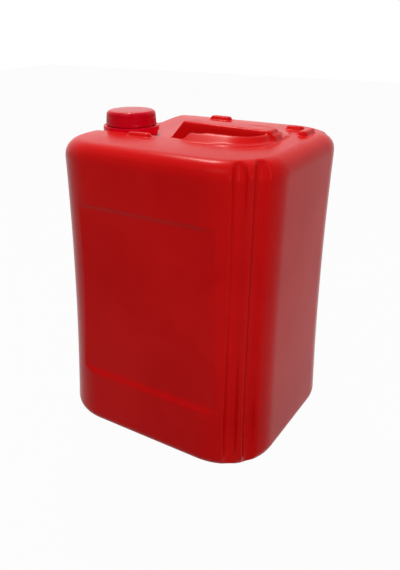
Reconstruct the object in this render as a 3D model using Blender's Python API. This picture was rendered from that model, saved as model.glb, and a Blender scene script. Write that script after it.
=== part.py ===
"""Plastic jerrycan of twenty litres: a blow-moulded can, its screw cap, seal and tamper ring.

Metres, +Z up. The origin is on the floor, under the middle of the can.
+X runs from the neck towards the far end of the handle, and -Y is the front.
"""

import math

import bmesh
import bpy

MM = 0.001

# Can, outside sizes at the floor; each wall leans in by the draft, and is drawn in at mid-height
CAN_LENGTH = 289 * MM
CAN_DEPTH = 262 * MM
DECK_HEIGHT = 370.5 * MM
DECK_CROWN = 1.3 * MM
CROWN_REACH = 60 * MM
CORNER_RADIUS = 68 * MM
SHOULDER_REACH = 21.5 * MM
SHOULDER_DROP = 19.5 * MM
BASE_RADIUS = 13 * MM
DRAFT = 3.8 * MM
WAIST = 2.7 * MM
WALL = 2.2 * MM

# Underside: a raised middle, and the groove of the pinched seam across it
BASE_RIM = 30 * MM
BASE_RISE = 4 * MM
SEAM_GROOVE_WIDTH = 44 * MM
SEAM_GROOVE_HEIGHT = 5 * MM

# Label panels on the front and the back
PANEL_WIDTH = 173 * MM
PANEL_LOW = 80 * MM
PANEL_HIGH = 296 * MM
PANEL_DEPTH = 1.4 * MM
PANEL_STEP = 10 * MM
PANEL_CORNER = 12 * MM

# Upright flutes, a pair round each corner at the handle's end, open at the top
FLUTE_RADIUS = 10.5 * MM
FLUTE_DEPTH = 9.5 * MM
FLUTE_FOOT = 8 * MM
FLUTE_TOE = 1 * MM
FLUTE_ANGLE = 10.3

# Neck platform, open at the can's left end: a steep side at the front, and a slope that rises
# to the deck at the back and the right
NECK_INSET = 41.4 * MM
PLATFORM_DROP = 13.5 * MM
PLATFORM_FRONT = -43.5 * MM
SLOPE_START_X = -73 * MM
SLOPE_START_Y = 20 * MM
SLOPE_TURN = 32
SLOPE_RISE = 22

# Sunk strip that joins the platform to the pocket in front of the handle bar
CHANNEL_BACK = 10 * MM
CHANNEL_LEFT = -36 * MM
CHANNEL_CORNER = 5 * MM
CHANNEL_FILLET = 4 * MM
CHANNEL_SHORT_OF_RIM = 0.6 * MM
CHANNEL_STEP_DOWN = 0.3 * MM

# Finger pocket and the handle bar over it
POCKET_FROM_NECK = 87 * MM
POCKET_FROM_END = 54.5 * MM
POCKET_WIDTH = 80 * MM
POCKET_DEPTH = 36.5 * MM
POCKET_CORNER = 20 * MM
POCKET_FILLET = 8 * MM
BAR_WIDTH = 26 * MM
BAR_RISE = 12.5 * MM
BAR_THICKNESS = 20 * MM
BAR_SLOPE = 50
BAR_FOOT = 2 * MM
BAR_HAUNCH = 8 * MM
BAR_END_SUNK = 0.5 * MM

# Raised rim round the pocket
RIM_RISE = 8.4 * MM
RIM_WIDTH = 22 * MM
RIM_SLOPE = 20 * MM
RIM_LENGTH = 89.5 * MM
RIM_PAST_POCKET = 7 * MM
RIM_CORNER = 38 * MM
RIM_LEFT_CORNER = 4 * MM
RIM_END_SHARE = 0.2

# Stacking lugs: what they share, then centre, length and direction of each
LUG_WIDTH = 11 * MM
LUG_HEIGHT = 5.5 * MM
LUG_ROUNDING = 3.5 * MM
LUGS = [
    (-50 * MM, -56 * MM, 33 * MM, "along x"),
    (-23.5 * MM, 94 * MM, 30 * MM, "along x"),
    (89 * MM, 75 * MM, 22 * MM, "along x"),
    (110 * MM, 58 * MM, 34 * MM, "along y"),
]

# Neck; its heights are measured from the platform
BORE_RADIUS = 24.5 * MM
NECK_RADIUS = 27.2 * MM
NECK_LENGTH = 27.5 * MM
BEAD_RADIUS = 32.4 * MM
BEAD_RISE = 8.4 * MM
BEAD_THICKNESS = 1 * MM
BEAD_TAPER = 2.2 * MM
NECK_FOOT_EXTRA = 0.8 * MM
NECK_LIP_BEVEL = 0.6 * MM
THREAD_PITCH = 5 * MM
THREAD_FIRST_TURN = 0.02
THREAD_LAST_TURN = 1.77
THREAD_RISE = 16.4 * MM
THREAD_HEIGHT = 2 * MM
THREAD_FOOT = 2.8 * MM
THREAD_CREST = 1.2 * MM
THREAD_SUNK = 0.6 * MM
THREAD_RUN_OUT = 0.12
THREAD_STEPS_PER_TURN = 32

# Screw cap
CAP_RADIUS = 32.1 * MM
CAP_WALL = 2.2 * MM
CAP_TOP_PLATE = 2.5 * MM
CAP_DOME = 5 * MM
CAP_RIBS = 72
RIB_DEPTH = 0.5 * MM
RIB_START = 1 * MM

# Seal and tamper ring
SEAL_THICKNESS = 1.9 * MM
SEAL_CLEARANCE = 0.8 * MM
SEAL_EDGE = 0.4 * MM
RING_RADIUS = 35.8 * MM
RING_SKIRT_RADIUS = 34.3 * MM
RING_CLEARANCE = 1.3 * MM
RING_STEP = 4.8 * MM
RING_HEIGHT = 12.4 * MM
RING_SHELF = 1.2 * MM
RING_EDGE = 0.6 * MM
RING_HOOK = 1.4 * MM
RING_BORE_CLEARANCE = 3 * MM
BEAD_CLEARANCE = 0.7 * MM
BRIDGES = 12
BRIDGE_WIDTH = 2 * MM
BRIDGE_HEIGHT = 0.6 * MM
BRIDGE_SUNK = 0.5 * MM

GAP = 0.3 * MM
SUNK = 3 * MM

# Worked out from the sizes above
PLATFORM_HEIGHT = DECK_HEIGHT - PLATFORM_DROP
POCKET_FLOOR = DECK_HEIGHT - POCKET_DEPTH
BAR_TOP = DECK_HEIGHT + BAR_RISE
BAR_UNDERSIDE = BAR_TOP - BAR_THICKNESS
RIM_HEIGHT = DECK_HEIGHT + RIM_RISE
NECK_TOP = PLATFORM_HEIGHT + NECK_LENGTH
BEAD_HEIGHT = PLATFORM_HEIGHT + BEAD_RISE
THREAD_START = PLATFORM_HEIGHT + THREAD_RISE
NECK_X = -CAN_LENGTH / 2 + NECK_INSET
POCKET_LEFT = NECK_X + POCKET_FROM_NECK
POCKET_RIGHT = CAN_LENGTH / 2 - POCKET_FROM_END
CAP_BORE = CAP_RADIUS - CAP_WALL
CAP_CEILING = NECK_TOP + GAP + SEAL_THICKNESS + GAP
CAP_TOP = CAP_CEILING + CAP_TOP_PLATE
RING_FOOT = PLATFORM_HEIGHT + RING_CLEARANCE
RING_TOP = RING_FOOT + RING_HEIGHT
CAP_FOOT = RING_TOP + BRIDGE_HEIGHT + GAP
WALL_AT_MIDDLE = CAN_DEPTH / 2 - DRAFT / 2 - WAIST


def clear_scene():
    for old in list(bpy.data.objects):
        bpy.data.objects.remove(old, do_unlink=True)


def new_object(name, bm):
    bmesh.ops.recalc_face_normals(bm, faces=bm.faces)
    mesh = bpy.data.meshes.new(name)
    bm.to_mesh(mesh)
    bm.free()
    obj = bpy.data.objects.new(name, mesh)
    bpy.context.scene.collection.objects.link(obj)
    return obj


def loft(name, rings):
    """A closed solid through rings of equally many points, with a flat face at each end."""
    bm = bmesh.new()
    loops = [[bm.verts.new(point) for point in ring] for ring in rings]
    for low, high in zip(loops, loops[1:]):
        for i, corner in enumerate(low):
            j = (i + 1) % len(low)
            bm.faces.new((corner, low[j], high[j], high[i]))
    bm.faces.new(reversed(loops[0]))
    bm.faces.new(loops[-1])
    return new_object(name, bm)


def rounded_rectangle(half_x, half_y, radius, centre_x=0.0, steps=8, left_radius=None):
    """Points round a rectangle with round corners, counterclockwise."""
    points = []
    for quarter in range(4):
        side_x = 1 if quarter in (0, 3) else -1
        side_y = 1 if quarter in (0, 1) else -1
        corner = radius if side_x > 0 or left_radius is None else left_radius
        for step in range(steps + 1):
            angle = math.radians(90 * (quarter + step / steps))
            x = centre_x + side_x * (half_x - corner) + corner * math.cos(angle)
            y = side_y * (half_y - corner) + corner * math.sin(angle)
            points.append((x, y))
    return points


def stack(name, half_x, half_y, radius, profile, centre_x=0.0, steps=8):
    """A block whose outline is drawn in by each (inset, height) of the profile."""
    rings = []
    for inset, height in profile:
        corner = max(radius - inset, 0.5 * MM)
        outline = rounded_rectangle(half_x - inset, half_y - inset, corner, centre_x, steps)
        rings.append([(x, y, height) for x, y in outline])
    return loft(name, rings)


def foot_fillet(radius, height, steps=4):
    """Profile points that rise from a flat bottom at this height into an upright wall."""
    angles = [math.radians(90 * step / steps) for step in range(steps + 1)]
    return [(radius * (1 - math.sin(a)), height + radius * (1 - math.cos(a))) for a in angles]


def top_fillet(reach, drop, height, steps=5):
    """Profile points that turn from an upright wall into a flat top at this height."""
    angles = [math.radians(90 * step / steps) for step in range(steps + 1)]
    return [(reach * (1 - math.cos(a)), height - drop * (1 - math.sin(a))) for a in angles]


def circle(radius, height, steps=48):
    angles = [math.tau * step / steps for step in range(steps)]
    return [(radius * math.cos(a), radius * math.sin(a), height) for a in angles]


def at_neck(obj):
    """Moves what is made round the Z axis to the neck's axis, which then passes its origin."""
    obj.location.x = NECK_X
    return obj


def turned(name, profile, steps=48):
    """A solid of revolution on the neck's axis, from (radius, height) points."""
    return at_neck(loft(name, [circle(radius, height, steps) for radius, height in profile]))


def turned_ring(name, profile, steps=48):
    """A ring on the neck's axis; its section is the closed profile of (radius, height) points."""
    bm = bmesh.new()
    loops = [
        [bm.verts.new(point) for point in circle(radius, height, steps)]
        for radius, height in profile
    ]
    for low, high in zip(loops, loops[1:] + loops[:1]):
        for i, corner in enumerate(low):
            j = (i + 1) % steps
            bm.faces.new((corner, low[j], high[j], high[i]))
    return at_neck(new_object(name, bm))


def thread(name, wall_radius, outwards, foot, first, last):
    """A right-handed thread let into its wall, from one turn to another above its foot."""
    steps = round((last - first) * THREAD_STEPS_PER_TURN)
    root = wall_radius - outwards * THREAD_SUNK
    rings = []
    for step in range(steps + 1):
        turn = first + step / THREAD_STEPS_PER_TURN
        from_end = min(turn - first, last - turn)
        height = THREAD_HEIGHT * min(1, THREAD_RUN_OUT + from_end / THREAD_RUN_OUT)
        crest = wall_radius + outwards * height
        middle = foot + THREAD_PITCH * turn
        angle = math.tau * turn
        section = (
            (root, -THREAD_FOOT / 2),
            (crest, -THREAD_CREST / 2),
            (crest, THREAD_CREST / 2),
            (root, THREAD_FOOT / 2),
        )
        rings.append([(r * math.cos(angle), r * math.sin(angle), middle + z) for r, z in section])
    return at_neck(loft(name, rings))


def combine(target, tool, operation):
    """A Boolean on the target; the tool stays as a wire that isn't rendered."""
    modifier = target.modifiers.new(tool.name, "BOOLEAN")
    modifier.operation = operation
    modifier.object = tool
    tool.hide_render = True
    tool.display_type = "WIRE"


def cut(target, tool):
    combine(target, tool, "DIFFERENCE")


def fuse(target, tool):
    combine(target, tool, "UNION")


def material(name, colour, roughness):
    made = bpy.data.materials.new(name)
    made.use_nodes = True
    shader = made.node_tree.nodes["Principled BSDF"]
    shader.inputs["Base Color"].default_value = (*colour, 1)
    shader.inputs["Roughness"].default_value = roughness
    shader.inputs["Metallic"].default_value = 0
    return made


def finish(obj, made):
    obj.data.materials.append(made)
    obj.data.shade_smooth()
    obj.data.set_sharp_from_angle(angle=math.radians(35))
    return obj


# Each form of the can is made twice: once at its outside size, and once for the hollow
# inside, where "inward" is the wall. What adds material is then smaller by the wall, and
# what cuts it away is larger.


def hull(name, inward):
    """The can without its top details, from the base's fillet to the crowned deck."""
    low = inward
    high = DECK_HEIGHT - inward
    shoulder_high = high - DECK_CROWN
    base = BASE_RADIUS - inward
    reach = SHOULDER_REACH - inward
    drop = SHOULDER_DROP - inward
    wall_low = low + base
    wall_high = shoulder_high - drop
    levels = 8
    wall = []
    for level in range(1, levels):
        t = 2 * level / levels - 1
        wall.append((WAIST * (1 - t * t), wall_low + (wall_high - wall_low) * level / levels))
    profile = foot_fillet(base, low) + wall + top_fillet(reach, drop, shoulder_high, 6)
    profile.append((CROWN_REACH - inward, high))
    leaning = [(inset + DRAFT * height / DECK_HEIGHT, height) for inset, height in profile]
    return stack(
        name, CAN_LENGTH / 2 - inward, CAN_DEPTH / 2 - inward, CORNER_RADIUS - inward, leaning
    )


def rim(name, inward):
    """The raised rim: a block round the pocket, its ends steep and its long sides sloping."""
    right = POCKET_RIGHT + RIM_PAST_POCKET
    left = right - RIM_LENGTH
    top = RIM_HEIGHT - inward
    profile = [
        (0, DECK_HEIGHT - SHOULDER_DROP / 2),
        (0, DECK_HEIGHT - DECK_CROWN / 2 - inward),
        (RIM_SLOPE / 2, top - RIM_RISE / 4),
        (RIM_SLOPE, top),
    ]
    rings = []
    for inset, height in profile:
        outline = rounded_rectangle(
            (right - left) / 2 - inward - inset * RIM_END_SHARE,
            POCKET_WIDTH / 2 + RIM_WIDTH - inward - inset,
            RIM_CORNER - inward - inset,
            (right + left) / 2,
            8,
            RIM_LEFT_CORNER - inward,
        )
        rings.append([(x, y, height) for x, y in outline])
    return loft(name, rings)


def platform(name, inward):
    """The cutter over the neck platform: flat round the neck, then rising at the slope's angle.

    It is drawn as a section across the slope, and each point is carried along the slope's
    level lines to the platform's front side and to beyond the back of the can.
    """
    turn = math.radians(SLOPE_TURN)
    grade = math.tan(math.radians(SLOPE_RISE))
    floor = PLATFORM_HEIGHT - inward
    start = -inward * math.tan(math.radians(SLOPE_RISE / 2))
    high = RIM_HEIGHT + SUNK
    run = (high - floor) / grade
    section = [(-CAN_LENGTH, floor), (start, floor), (start + run, high), (-CAN_LENGTH, high)]
    rings = []
    for y in (PLATFORM_FRONT - inward, CAN_DEPTH):
        ring = []
        for along, z in section:
            x = SLOPE_START_X + (along - (y - SLOPE_START_Y) * math.sin(turn)) / math.cos(turn)
            ring.append((x, y, z))
        rings.append(ring)
    return loft(name, rings)


def channel(name, inward):
    """The cutter of the strip in front of the handle bar, from the platform to the pocket."""
    left = CHANNEL_LEFT - inward
    right = POCKET_RIGHT + RIM_PAST_POCKET - RIM_LENGTH - CHANNEL_SHORT_OF_RIM + inward
    front = PLATFORM_FRONT - CHANNEL_STEP_DOWN - inward
    back = CHANNEL_BACK + inward
    profile = foot_fillet(CHANNEL_FILLET, PLATFORM_HEIGHT - CHANNEL_STEP_DOWN - inward, 2)
    profile.append((0, RIM_HEIGHT + 4 * SUNK))
    corner = CHANNEL_CORNER + inward
    made = stack(name, (right - left) / 2, (back - front) / 2, corner, profile, 0, 3)
    made.location = ((right + left) / 2, (back + front) / 2, 0)
    return made


def pocket(name, inward):
    """The cutter of the finger pocket, which passes under the bar."""
    left = POCKET_LEFT - inward
    right = POCKET_RIGHT + inward
    half_y = POCKET_WIDTH / 2 + inward
    corner = POCKET_CORNER + inward
    profile = foot_fillet(POCKET_FILLET + inward, POCKET_FLOOR - inward, 3)
    profile.append((0, RIM_HEIGHT + 4 * SUNK))
    return stack(name, (right - left) / 2, half_y, corner, profile, (right + left) / 2, 5)


def bar(name, inward):
    """The handle bar, seen from the side: a sloping left foot, a level top, a sunk right end."""
    lean = math.tan(math.radians(BAR_SLOPE))
    slope_in = inward / math.sin(math.radians(BAR_SLOPE))
    top = BAR_TOP - inward
    bottom = BAR_UNDERSIDE + inward
    root = POCKET_FLOOR + POCKET_FILLET
    toe_height = PLATFORM_HEIGHT - SUNK
    toe = POCKET_LEFT - BAR_FOOT - (BAR_TOP - toe_height) / lean + slope_in
    left = POCKET_LEFT - SUNK
    right = POCKET_RIGHT + SUNK
    haunch = BAR_HAUNCH - inward * (math.sqrt(2) - 1)
    haunch_low = bottom - haunch - SUNK
    end_low = POCKET_RIGHT + RIM_PAST_POCKET - BAR_END_SUNK - inward
    end_high = end_low - RIM_END_SHARE * RIM_SLOPE
    outline = [
        (toe, toe_height),
        (toe + (top - toe_height) / lean, top),
        (end_high, top),
        (end_low, DECK_HEIGHT - inward),
        (end_low, root),
        (right, root),
        (right, haunch_low),
        (POCKET_RIGHT - haunch, bottom),
        (POCKET_LEFT + haunch, bottom),
        (left, haunch_low),
        (left, root),
        (toe, root),
    ]
    half = BAR_WIDTH / 2 - inward
    rings = [[(x, y, z) for x, z in outline] for y in (-half, half)]
    return loft(name, rings)


def flute(name, inward, angle, front):
    """The cutter of one upright flute: a round post, domed at its foot, that passes the shoulder."""
    radius = FLUTE_RADIUS + inward
    corner_x = CAN_LENGTH / 2 - CORNER_RADIUS
    corner_y = CAN_DEPTH / 2 - CORNER_RADIUS
    reach = CORNER_RADIUS - (DRAFT + WAIST) / 2 - FLUTE_DEPTH + FLUTE_RADIUS
    turn = math.radians(45 + angle)
    side = -1 if front else 1
    x = corner_x + reach * math.cos(turn)
    y = side * (corner_y + reach * math.sin(turn))
    profile = foot_fillet(radius - FLUTE_TOE, FLUTE_FOOT - inward, 4)
    profile.append((0, DECK_HEIGHT + SUNK))
    made = loft(name, [circle(radius - inset, height, 26) for inset, height in profile])
    made.location = (x, y, 0)
    return made


def panel(name, inward, front):
    """The cutter of a label panel, a plate let into the wall with gentle steps round it."""
    side = -1 if front else 1
    floor = WALL_AT_MIDDLE - PANEL_DEPTH - inward
    outside = CAN_DEPTH / 2
    half_x = PANEL_WIDTH / 2 + inward
    half_z = (PANEL_HIGH - PANEL_LOW) / 2 + inward
    middle = (PANEL_HIGH + PANEL_LOW) / 2
    rings = []
    for step, depth in ((0, floor), (PANEL_STEP, outside), (PANEL_STEP, outside + SUNK)):
        corner = PANEL_CORNER + step / 2
        outline = rounded_rectangle(half_x + step / 2, half_z + step, corner, 0, 3)
        rings.append([(x, side * depth, z + middle) for x, z in outline])
    return loft(name, rings)


def push_up(name, inward):
    """The cutter that raises the middle of the underside."""
    high = BASE_RISE + inward
    profile = [(-SUNK, -SUNK), (0, 0), (BASE_RISE, high)]
    half_x = CAN_LENGTH / 2 - BASE_RIM + inward
    half_y = CAN_DEPTH / 2 - BASE_RIM + inward
    return stack(name, half_x, half_y, CORNER_RADIUS - BASE_RADIUS, profile, 0, 6)


def seam_groove(name, inward):
    """The cutter of the shallow groove that the pinched seam leaves across the underside."""
    half = SEAM_GROOVE_WIDTH / 2 + inward
    high = SEAM_GROOVE_HEIGHT + inward
    right_side = [(half, -SUNK), (half, 0), (half / 2, high)]
    outline = right_side + [(-y, z) for y, z in reversed(right_side)]
    rings = [[(x, y, z) for y, z in outline] for x in (-CAN_LENGTH, CAN_LENGTH)]
    return loft(name, rings)


def lug(name, x, y, length, direction):
    """One stacking lug, a round-ended nub on the deck."""
    half_x, half_y = length / 2, LUG_WIDTH / 2
    if direction == "along y":
        half_x, half_y = half_y, half_x
    top = top_fillet(LUG_ROUNDING, LUG_ROUNDING, DECK_HEIGHT + LUG_HEIGHT, 3)
    profile = [(0, DECK_HEIGHT - DECK_CROWN - WALL / 2)] + top
    made = stack(name, half_x, half_y, LUG_WIDTH / 2, profile, 0, 4)
    made.location = (x, y, 0)
    return made


def neck_solid(name):
    """The neck without its bore: wall, thread and the bead that holds the tamper ring."""
    stem = NECK_RADIUS + NECK_FOOT_EXTRA
    bead_top = BEAD_HEIGHT + BEAD_THICKNESS
    profile = [
        (stem, PLATFORM_HEIGHT - WALL / 2),
        (stem, BEAD_HEIGHT - BEAD_THICKNESS),
        (BEAD_RADIUS, BEAD_HEIGHT),
        (BEAD_RADIUS, bead_top),
        (stem, bead_top + BEAD_TAPER),
        (NECK_RADIUS, bead_top + BEAD_TAPER + 2 * NECK_FOOT_EXTRA),
        (NECK_RADIUS, NECK_TOP - NECK_LIP_BEVEL),
        (NECK_RADIUS - NECK_LIP_BEVEL, NECK_TOP),
    ]
    made = turned(name, profile)
    turns = (THREAD_FIRST_TURN, THREAD_LAST_TURN)
    fuse(made, thread(name + "_thread", NECK_RADIUS, 1, THREAD_START, *turns))
    return made


def can_body():
    body = hull("can_body", 0)
    hollow = hull("hollow", WALL)
    for target, inward, kind in ((body, 0, ""), (hollow, WALL, "_hollow")):
        fuse(target, rim("rim" + kind, inward))
        cut(target, platform("platform" + kind, inward))
        cut(target, channel("channel" + kind, inward))
        cut(target, pocket("pocket" + kind, inward))
        fuse(target, bar("bar" + kind, inward))
        for front in (True, False):
            face = "_front" if front else "_back"
            cut(target, panel("panel" + face + kind, inward, front))
            for angle in (-FLUTE_ANGLE, FLUTE_ANGLE):
                side = "_near" if angle > 0 else "_far"
                cut(target, flute("flute" + face + side + kind, inward, angle, front))
        cut(target, push_up("push_up" + kind, inward))
        cut(target, seam_groove("seam_groove" + kind, inward))
    fuse(body, neck_solid("neck"))
    for number, place in enumerate(LUGS):
        fuse(body, lug(f"lug_{number}", *place))
    bore = [(BORE_RADIUS, PLATFORM_HEIGHT - WALL - SUNK), (BORE_RADIUS, NECK_TOP + SUNK)]
    fuse(hollow, turned("bore", bore))
    cut(body, hollow)
    return body


def screw_cap():
    """The cap: ribbed outside with a rounded top edge, and the mating thread inside."""
    steps = 2 * CAP_RIBS
    ribs_high = CAP_TOP - CAP_DOME
    rings = []
    plain_high = CAP_FOOT + RIB_START
    profile = [(CAP_RADIUS, CAP_FOOT, 0), (CAP_RADIUS, plain_high, 0)]
    profile += [(CAP_RADIUS, plain_high + RIB_DEPTH, RIB_DEPTH), (CAP_RADIUS, ribs_high, RIB_DEPTH)]
    for inset, height in top_fillet(CAP_DOME, CAP_DOME, CAP_TOP, 4)[1:]:
        profile.append((CAP_RADIUS - inset, height, RIB_DEPTH * (CAP_TOP - height) / CAP_DOME))
    for radius, height, depth in profile:
        ring = circle(1, height, steps)
        lengths = [radius - depth * (i % 2) for i in range(steps)]
        rings.append([(x * r, y * r, z) for (x, y, z), r in zip(ring, lengths)])
    cap = at_neck(loft("screw_cap", rings))
    cut(cap, turned("cap_inside", [(CAP_BORE, CAP_FOOT - SUNK), (CAP_BORE, CAP_CEILING)]))
    foot = THREAD_START - THREAD_PITCH / 2
    turns = (THREAD_FIRST_TURN + 0.5, THREAD_LAST_TURN + 0.25)
    fuse(cap, thread("cap_thread", CAP_BORE, -1, foot, *turns))
    return cap


def cap_seal():
    """The foam disc under the cap's ceiling, on the neck's lip."""
    radius = CAP_BORE - SEAL_CLEARANCE
    low = NECK_TOP + GAP
    high = low + SEAL_THICKNESS
    profile = [(radius - SEAL_EDGE, low), (radius, low + SEAL_EDGE)]
    profile += [(radius, high - SEAL_EDGE), (radius - SEAL_EDGE, high)]
    return turned("cap_seal", profile)


def tamper_ring():
    """The ring left on the neck under the bead, with the stubs of its bridges to the cap."""
    shelf = RING_TOP - RING_SHELF
    hook = BEAD_HEIGHT - GAP - RING_EDGE / 3
    clear = BEAD_RADIUS + BEAD_CLEARANCE
    inner = NECK_RADIUS + RING_BORE_CLEARANCE
    hook_radius = BEAD_RADIUS - RING_HOOK
    step = RING_FOOT + RING_STEP
    profile = [
        (RING_SKIRT_RADIUS - RING_EDGE, RING_FOOT),
        (RING_SKIRT_RADIUS, RING_FOOT + RING_EDGE),
        (RING_SKIRT_RADIUS, step),
        (RING_RADIUS, step + RING_EDGE),
        (RING_RADIUS, RING_TOP - 2 * RING_EDGE),
        (RING_RADIUS - 2 * RING_EDGE, RING_TOP),
        (inner, RING_TOP),
        (inner, shelf),
        (clear, shelf - RING_EDGE),
        (clear, hook),
        (hook_radius, hook - RING_HOOK),
        (hook_radius, RING_FOOT),
    ]
    ring = turned_ring("tamper_ring", profile)
    bm = bmesh.new()
    middle = (inner + CAP_RADIUS - RIB_DEPTH) / 2
    half_x = (CAP_RADIUS - RIB_DEPTH - inner) / 2
    half_y = BRIDGE_WIDTH / 2
    for number in range(BRIDGES):
        angle = math.tau * number / BRIDGES
        corners = []
        for dx, dy in ((-half_x, -half_y), (half_x, -half_y), (half_x, half_y), (-half_x, half_y)):
            x = (middle + dx) * math.cos(angle) - dy * math.sin(angle)
            y = (middle + dx) * math.sin(angle) + dy * math.cos(angle)
            corners.append((x, y))
        low = [bm.verts.new((x, y, RING_TOP - BRIDGE_SUNK)) for x, y in corners]
        high = [bm.verts.new((x, y, RING_TOP + BRIDGE_HEIGHT)) for x, y in corners]
        bm.faces.new(reversed(low))
        bm.faces.new(high)
        for i in range(4):
            bm.faces.new((low[i], low[(i + 1) % 4], high[(i + 1) % 4], high[i]))
    fuse(ring, at_neck(new_object("bridges", bm)))
    return ring


def main():
    clear_scene()
    can_red = material("can_red", (0.55, 0.012, 0.012), 0.38)
    cap_red = material("cap_red", (0.42, 0.004, 0.01), 0.2)
    seal_white = material("seal_white", (0.78, 0.76, 0.72), 0.7)
    finish(can_body(), can_red)
    finish(screw_cap(), cap_red)
    finish(cap_seal(), seal_white)
    finish(tamper_ring(), cap_red)


main()
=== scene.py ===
import math

import bmesh
import bpy
from mathutils import Matrix, Vector


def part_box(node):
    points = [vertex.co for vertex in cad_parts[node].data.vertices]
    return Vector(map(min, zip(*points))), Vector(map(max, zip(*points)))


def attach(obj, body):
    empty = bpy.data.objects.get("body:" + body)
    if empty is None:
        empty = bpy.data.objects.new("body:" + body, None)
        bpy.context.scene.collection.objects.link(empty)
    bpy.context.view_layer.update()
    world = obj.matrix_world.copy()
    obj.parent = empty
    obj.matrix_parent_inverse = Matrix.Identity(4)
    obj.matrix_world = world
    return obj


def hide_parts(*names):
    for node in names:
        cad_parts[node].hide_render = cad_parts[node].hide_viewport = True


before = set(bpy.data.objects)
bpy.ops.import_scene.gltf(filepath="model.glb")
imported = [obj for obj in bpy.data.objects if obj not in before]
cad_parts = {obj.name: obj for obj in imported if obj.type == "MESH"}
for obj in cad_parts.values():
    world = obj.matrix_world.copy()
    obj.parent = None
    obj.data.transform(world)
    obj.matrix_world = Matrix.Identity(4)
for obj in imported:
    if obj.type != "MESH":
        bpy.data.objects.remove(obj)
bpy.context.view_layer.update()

mm = 0.001

# What counts as the same place, and as close by
same = 0.01 * mm
near = 1 * mm

# Places that come from the parts in model.glb
capLow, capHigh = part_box("screw_cap")
ringLow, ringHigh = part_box("tamper_ring")
neckX = (capLow.x + capHigh.x) / 2
capRadius = (capHigh.x - capLow.x) / 2
ringRadius = (ringHigh.x - ringLow.x) / 2


# Selecting and shaping, as by hand

def deselect():
    bpy.ops.object.select_all(action="DESELECT")


def activate(piece):
    deselect()
    piece.select_set(True)
    bpy.context.view_layer.objects.active = piece


def applyPlace(piece):
    activate(piece)
    bpy.ops.object.transform_apply(location=True, rotation=True, scale=True)
    return piece


def applyModifiers(piece):
    activate(piece)
    for modifier in list(piece.modifiers):
        bpy.ops.object.modifier_apply(modifier=modifier.name)


def addBlock(name, low, high):
    # a cube stretched between two corners
    deselect()
    middle = [(a + b) / 2 for a, b in zip(low, high)]
    size = [b - a for a, b in zip(low, high)]
    bpy.ops.mesh.primitive_cube_add(size=1, location=middle, scale=size)
    block = bpy.context.object
    block.name = name
    return applyPlace(block)


def pick(piece, kind, test):
    # opens edit mode with the parts of one kind selected that pass the test
    activate(piece)
    bpy.ops.object.mode_set(mode="EDIT")
    bpy.ops.mesh.select_mode(type=kind)
    bpy.ops.mesh.select_all(action="DESELECT")
    shape = bmesh.from_edit_mesh(piece.data)
    if kind == "VERT":
        for vert in shape.verts:
            vert.select_set(bool(test(vert.co)))
    elif kind == "EDGE":
        for edge in shape.edges:
            first, second = (vert.co for vert in edge.verts)
            edge.select_set(bool(test(first, second)))
    else:
        for face in shape.faces:
            face.select_set(bool(test(face.calc_center_median(), face.normal)))
    shape.select_flush_mode()
    bmesh.update_edit_mesh(piece.data)


def objectMode():
    bpy.ops.object.mode_set(mode="OBJECT")


def roundEdges(piece, test, width, segments):
    pick(piece, "EDGE", test)
    bpy.ops.mesh.bevel(offset=width, segments=segments, affect="EDGES", clamp_overlap=False)
    objectMode()


def shift(piece, test, way):
    pick(piece, "VERT", test)
    bpy.ops.transform.translate(value=way)
    objectMode()


def stretch(piece, test, factors, centre):
    pick(piece, "VERT", test)
    bpy.ops.transform.resize(value=factors, center_override=centre)
    objectMode()


def sliceOff(piece, point, normal, keepAll=False):
    # a cut by a plane: what lies on the normal's side goes and the cut is filled, unless all is kept
    pick(piece, "FACE", lambda middle, normal: True)
    bpy.ops.mesh.bisect(plane_co=point, plane_no=normal, use_fill=not keepAll, clear_outer=not keepAll)
    objectMode()


def combine(piece, tool, how):
    # one Boolean, applied at once, after which the tool goes
    activate(piece)
    step = piece.modifiers.new(tool.name, "BOOLEAN")
    step.operation = how
    step.solver = "EXACT"
    step.object = tool
    bpy.ops.object.modifier_apply(modifier=step.name)
    bpy.data.objects.remove(tool, do_unlink=True)


def shadeSmooth(piece, degrees):
    activate(piece)
    bpy.ops.object.shade_smooth_by_angle(angle=math.radians(degrees))


def upright(first, second):
    return abs(first.z - second.z) > near and (first - second).xy.length < same


def level(height):
    return lambda first, second: abs(first.z - height) < same and abs(second.z - height) < same


# The can: a blow-moulded box with soft edges, a crowned deck and walls drawn in at mid-height

can = {
    "length": 289 * mm,
    "depth": 262 * mm,
    "deck": 370.5 * mm,
    "corner": 68 * mm,
    "shoulderReach": 21.5 * mm,
    "shoulderDrop": 19.5 * mm,
    "baseRadius": 13 * mm,
    "draft": 3.8 * mm,
    "waist": 2.7 * mm,
    "wall": 2.2 * mm,
    "wallRings": 12,
    "baseRim": 30 * mm,
    "baseRise": 4 * mm,
    "baseSlope": 4 * mm,
    "seamWidth": 44 * mm,
    "seamHeight": 5 * mm,
    "seamTaper": 0.5,
    "cutPast": 20 * mm,
    "cutBelow": 5 * mm,
    "voxel": 0.9 * mm,
    "softening": 24,
    "lipSoftening": 55,
    "triangles": 170000,
    "creaseAngle": 40,
}

# the deck's crown, as steps that each lie further in and higher
crownSteps = [(12 * mm, 0.65 * mm), (12 * mm, 0.4 * mm), (14 * mm, 0.25 * mm)]
crownHeight = sum(rise for width, rise in crownSteps)


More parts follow.
